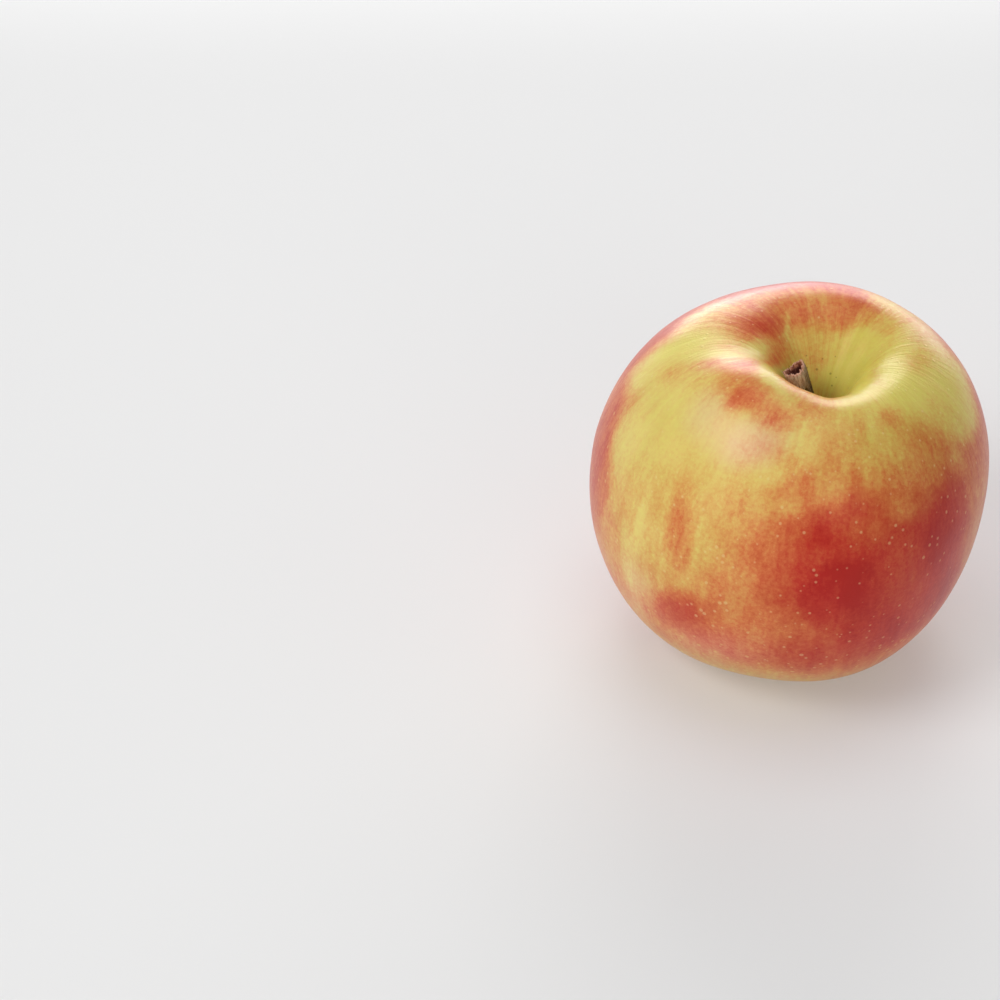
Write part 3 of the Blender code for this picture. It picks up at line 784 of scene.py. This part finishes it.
def stem_material():
    t = Tree("stem_bark")
    obj = t.obj()
    sep = t.node("ShaderNodeSeparateXYZ")
    t.put(sep.inputs[0], t.attr("tone", True))
    height, hollow, streak = sep.outputs[0], sep.outputs[1], sep.outputs[2]
    bleached = t.attr("bleached")
    grain = t.noise(t.vec("MULTIPLY", obj, (2600.0, 2600.0, 500.0)), 1.0, 4.0, 0.65)
    spots = t.noise(obj, 900.0, 3.0, 0.6)
    low = t.map(height, 0.66, 0.86)
    bark = t.mix(low, srgb(58, 54, 26), srgb(150, 122, 80))
    bark = t.mix(t.map(spots, 0.42, 0.66), bark, srgb(92, 82, 44))
    bark = t.mix(t.mul(t.map(grain, 0.35, 0.70), 0.55), bark, srgb(140, 112, 66))
    bark = t.mix(t.mul(t.map(streak, 0.60, 0.85), 0.5), bark, srgb(62, 46, 24))
    pale = t.mix(t.map(grain, 0.30, 0.65), srgb(186, 158, 124), srgb(234, 224, 194))
    bark = t.mix(t.mul(bleached, t.map(t.add(streak, t.mul(grain, 0.6)), 0.50, 0.85, 0.55, 1.0)), bark, pale)
    rim = t.mix(t.map(grain, 0.35, 0.65), srgb(186, 128, 104), srgb(222, 178, 154))
    rust = t.mix(t.map(spots, 0.40, 0.62), srgb(132, 72, 50), srgb(186, 124, 94))
    inside = t.mix(t.map(hollow, 0.25, 0.75), rim, rust)
    # painted shade: the deepest rows of the hollow turn near-black brown
    inside = t.mix(t.map(hollow, 0.93, 1.0), inside, srgb(92, 40, 26))
    near = t.map(height, 0.955, 1.0, 0.0, 0.85)
    bark = t.mix(near, bark, rim)
    colour = t.mix(t.map(hollow, 0.02, 0.18), bark, inside)
    loose = t.map(t.mul(hollow, -1.0), 0.10, 0.95)
    colour = t.mix(t.mul(loose, 0.8), colour, pale)
    normal = t.bump(t.add(t.mul(grain, 0.8), t.mul(spots, 0.6)), 0.8, 0.00022)
    rough = t.add(0.72, t.mul(grain, 0.2))
    return t.set(Base_Color=colour, Roughness=rough, Normal=normal)


stem = make_stem()
stem.data.materials.append(stem_material())
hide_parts("stem")
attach(stem, "root")

# =============================================================== the eye: five dried sepals and the withered stamens
EYE = at_fruit(0, BASIN_DEPTH, 4, 0) / MM
SEPAL_WIDTH, SEPAL_DROP, SEPAL_GAP, SEPAL_ROOT = 3.3, 5.9, 1.05, 2.75
CURLS = (0.55, -0.2, 0.9, 0.25, 0.7)


def sepal_centre(s, curl):
    r, z = SEPAL_ROOT, BASIN_DEPTH - FLAT_LEVEL - SEPAL_GAP
    knots = np.array([
        (r + 0.25, z),
        (r - 0.30, z - SEPAL_DROP * 0.28),
        (r - 0.35, z - SEPAL_DROP * 0.54),
        (r + 0.20 + 0.3 * curl, z - SEPAL_DROP * 0.79),
        (r + 1.05 + 1.0 * curl, z - SEPAL_DROP * (1 - 0.05 * curl)),
    ])
    x = min(max(s, 0.0), 1.0) * (len(knots) - 1)
    i = min(int(x), len(knots) - 2)
    p = knots[max(i - 1, 0)], knots[i], knots[i + 1], knots[min(i + 2, len(knots) - 1)]
    t = x - i
    return 0.5 * (2 * p[1] + (p[2] - p[0]) * t + (2 * p[0] - 5 * p[1] + 4 * p[2] - p[3]) * t * t + (3 * p[1] - 3 * p[2] - p[0] + p[3]) * t ** 3)


def make_sepal(number):
    """A dry leaf: crinkled, keeled, thin at its edges, with down on it."""
    angle = LOBE_START + math.radians(36) + number * TAU / 5
    curl = CURLS[number]
    radial = Vector((math.cos(angle), math.sin(angle), 0))
    across = Vector((-math.sin(angle), math.cos(angle), 0))
    nu, ns = 22, 44

    def sheet(u, s):
        r, z = sepal_centre(s, curl)
        half = SEPAL_WIDTH / 2 * (0.74 + 0.46 * s - 1.12 * s * s)
        keel = 0.32 * u * u * (1 - 0.4 * s)
        swing = 0.30 * math.sin(2.1 * number + 3 * s) * s * s
        crinkle = 0.16 * noise.noise(Vector((2.2 * u, 5.0 * s, 3.0 * number))) + 0.08 * noise.noise(Vector((5.0 * u, 11.0 * s, 5.0 * number + 2)))
        vein = 0.05 * math.cos(6.0 * math.pi * u * 0.5) * (1 - s)
        frill = 0.10 * abs(u) ** 3 * math.sin(17 * s + 3 * number)
        return Vector((EYE.x, EYE.y, 0)) + radial * (r - keel + crinkle + vein + frill) + across * (u * half * (1 + 0.05 * math.sin(23 * s + number)) + swing) + Vector((0, 0, z))

    def normal(u, s):
        du = sheet(min(u + 0.02, 1.0), s) - sheet(max(u - 0.02, -1.0), s)
        ds = sheet(u, min(s + 0.01, 1.0)) - sheet(u, max(s - 0.01, 0.0))
        return du.cross(ds).normalized()

    verts, faces, down = [], [], []
    for side in (1, -1):
        for i in range(ns + 1):
            for j in range(nu + 1):
                u, s = -1 + 2 * j / nu, i / ns
                thick = 0.19 * (1 - 0.75 * abs(u) ** 4) * (1 - 0.6 * s ** 3)
                verts.append(sheet(u, s) + normal(u, s) * (side * thick))
                down.append(0.0)
    w, layer = nu + 1, (nu + 1) * (ns + 1)
    for i in range(ns):
        for j in range(nu):
            q = (i * w + j, i * w + j + 1, (i + 1) * w + j + 1, (i + 1) * w + j)
            faces.append(q)
            faces.append(tuple(layer + k for k in reversed(q)))
    rim = [j for j in range(nu)] + [i * w + nu for i in range(ns)] + [ns * w + j for j in range(nu, 0, -1)] + [i * w for i in range(ns, 0, -1)]
    for a0, b0 in zip(rim, rim[1:] + rim[:1]):
        faces.append((b0, a0, layer + a0, layer + b0))
    # short down on both faces
    for k in range(110):
        h1, h2, h3, h4 = (math.modf(abs(math.sin(78.233 * k + 9.1 * number + c) * 43758.5453))[0] for c in (0.3, 1.9, 3.7, 5.1))
        u, s = -0.92 + 1.84 * h1, 0.06 + 0.90 * h2
        side = 1 if k % 2 else -1
        n_ = normal(u, s) * side
        root = sheet(u, s) + n_ * 0.12
        lean = (across * (h3 - 0.5) * 1.4 + Vector((0, 0, -0.9)) + n_ * (0.7 + 0.5 * h4)).normalized()
        tip = root + lean * (0.35 + 0.35 * h4)
        a_, b_ = lean.orthogonal().normalized(), lean.cross(lean.orthogonal()).normalized()
        base = len(verts)
        for q in range(4):
            t = q * TAU / 4
            verts.append(root + (a_ * math.cos(t) + b_ * math.sin(t)) * 0.028)
            down.append(1.0)
        verts.append(tip)
        down.append(1.0)
        faces += [(base + q, base + (q + 1) % 4, base + 4) for q in range(4)] + [(base + 3, base + 2, base + 1, base)]
    obj = mesh_object(f"sepal_leaf_{number + 1}", [v * MM for v in verts], faces)
    point_attribute(obj, "down", down)
    run = [0.5] * len(verts)
    for side in (0, 1):
        for i in range(ns + 1):
            for j in range(nu + 1):
                run[side * layer + i * w + j] = i / ns
    point_attribute(obj, "run", run)
    return obj


def sepal_material():
    t = Tree("sepal_dry_leaf")
    obj = t.obj()
    big = t.noise(obj, 420.0, 3.0, 0.6)
    small = t.noise(obj, 2300.0, 3.0, 0.65)
    run = t.attr("run")
    colour = t.mix(t.map(big, 0.35, 0.68), srgb(84, 66, 38), srgb(128, 106, 66))
    colour = t.mix(t.map(run, 0.62, 1.0, 0.0, 0.8), colour, srgb(58, 40, 24))
    colour = t.mix(t.map(run, 0.30, 0.0, 0.0, 0.55), colour, srgb(120, 118, 62))
    colour = t.mix(t.mul(t.map(small, 0.5, 0.75), 0.5), colour, srgb(160, 142, 104))
    colour = t.mix(t.mul(t.attr("down"), 0.85), colour, srgb(196, 184, 150))
    normal = t.bump(t.add(t.mul(small, 0.7), big), 0.7, 0.00018)
    return t.set(Base_Color=colour, Roughness=t.add(0.78, t.mul(small, 0.15)), Normal=normal)


sepal_finish = sepal_material()
for number in range(5):
    leaf = make_sepal(number)
    leaf.data.materials.append(sepal_finish)
    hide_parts(f"sepal_{number + 1}")
    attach(leaf, "root")


def make_stamens():
    verts, faces, kind = [], [], []

    def tube(points, radii, tag, sides=7):
        base = len(verts)
        for k, (p, r) in enumerate(zip(points, radii)):
            ahead = (points[min(k + 1, len(points) - 1)] - points[max(k - 1, 0)]).normalized()
            a_ = ahead.orthogonal().normalized()
            b_ = ahead.cross(a_).normalized()
            for q in range(sides):
                t = q * TAU / sides
                verts.append(p + (a_ * math.cos(t) + b_ * math.sin(t)) * r)
                kind.append(tag)
        for k in range(len(points) - 1):
            for q in range(sides):
                i0, i1 = base + sides * k + q, base + sides * k + (q + 1) % sides
                faces.append((i0, i1, i1 + sides, i0 + sides))
        faces.append(tuple(base + q for q in reversed(range(sides))))
        faces.append(tuple(base + sides * (len(points) - 1) + q for q in range(sides)))

    root = Vector((EYE.x, EYE.y, 0))
    for k in range(20):
        h1, h2, h3 = (math.modf(abs(math.sin(35.17 * k + c) * 43758.5453))[0] for c in (0.7, 2.1, 6.3))
        a = (k + 0.5 * h1) * TAU / 20
        ring_r = 1.25 if k % 2 else 0.85
        length = 3.2 + 1.2 * h2
        pts, size = [], []
        for i in range(9):
            f = i / 8
            r = ring_r * (1 - 0.45 * f) + 0.25 * math.sin(5 * f + 6 * h3) * f
            twist = a + 0.5 * (h2 - 0.5) * f
            pts.append(root + Vector((r * math.cos(twist), r * math.sin(twist), 9.9 - length * f + 0.12 * math.sin(9 * f + k))))
            size.append(0.11 - 0.045 * f)
        tube(pts, size, 0.2 + 0.3 * h1)
        tip = pts[-1]
        turn = Vector((math.cos(a * 3), math.sin(a * 3), -0.8)).normalized()
        blob = [tip + turn * (x * 0.26) for x in (-1.0, -0.8, -0.35, 0.0, 0.35, 0.8, 1.0)]
        tube(blob, [0.03, 0.13, 0.19, 0.15, 0.19, 0.13, 0.03], 1.0)
    for k in range(5):
        a = LOBE_START + k * TAU / 5
        pts = [root + Vector((math.cos(a), math.sin(a), 0)) * (0.16 + 0.30 * f * f) + Vector((0, 0, 10.2 - 4.6 * f)) for f in (0, 0.2, 0.4, 0.6, 0.8, 0.92, 1.0)]
        tube(pts, [0.20, 0.19, 0.17, 0.14, 0.12, 0.19, 0.10], 0.6)
    obj = mesh_object("stamen_tuft", [v * MM for v in verts], faces)
    point_attribute(obj, "kind", kind)
    t = Tree("stamen_withered")
    grain = t.noise(t.obj(), 2600.0, 3.0, 0.6)
    colour = t.mix(t.map(t.attr("kind"), 0.2, 1.0), srgb(110, 82, 50), srgb(46, 32, 22))
    colour = t.mix(t.mul(t.map(grain, 0.4, 0.7), 0.6), colour, srgb(150, 122, 84))
    obj.data.materials.append(t.set(Base_Color=colour, Roughness=t.add(0.75, t.mul(grain, 0.2)), Normal=t.bump(grain, 0.7, 0.00012)))
    return obj


tuft = make_stamens()
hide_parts("stamens")
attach(tuft, "root")
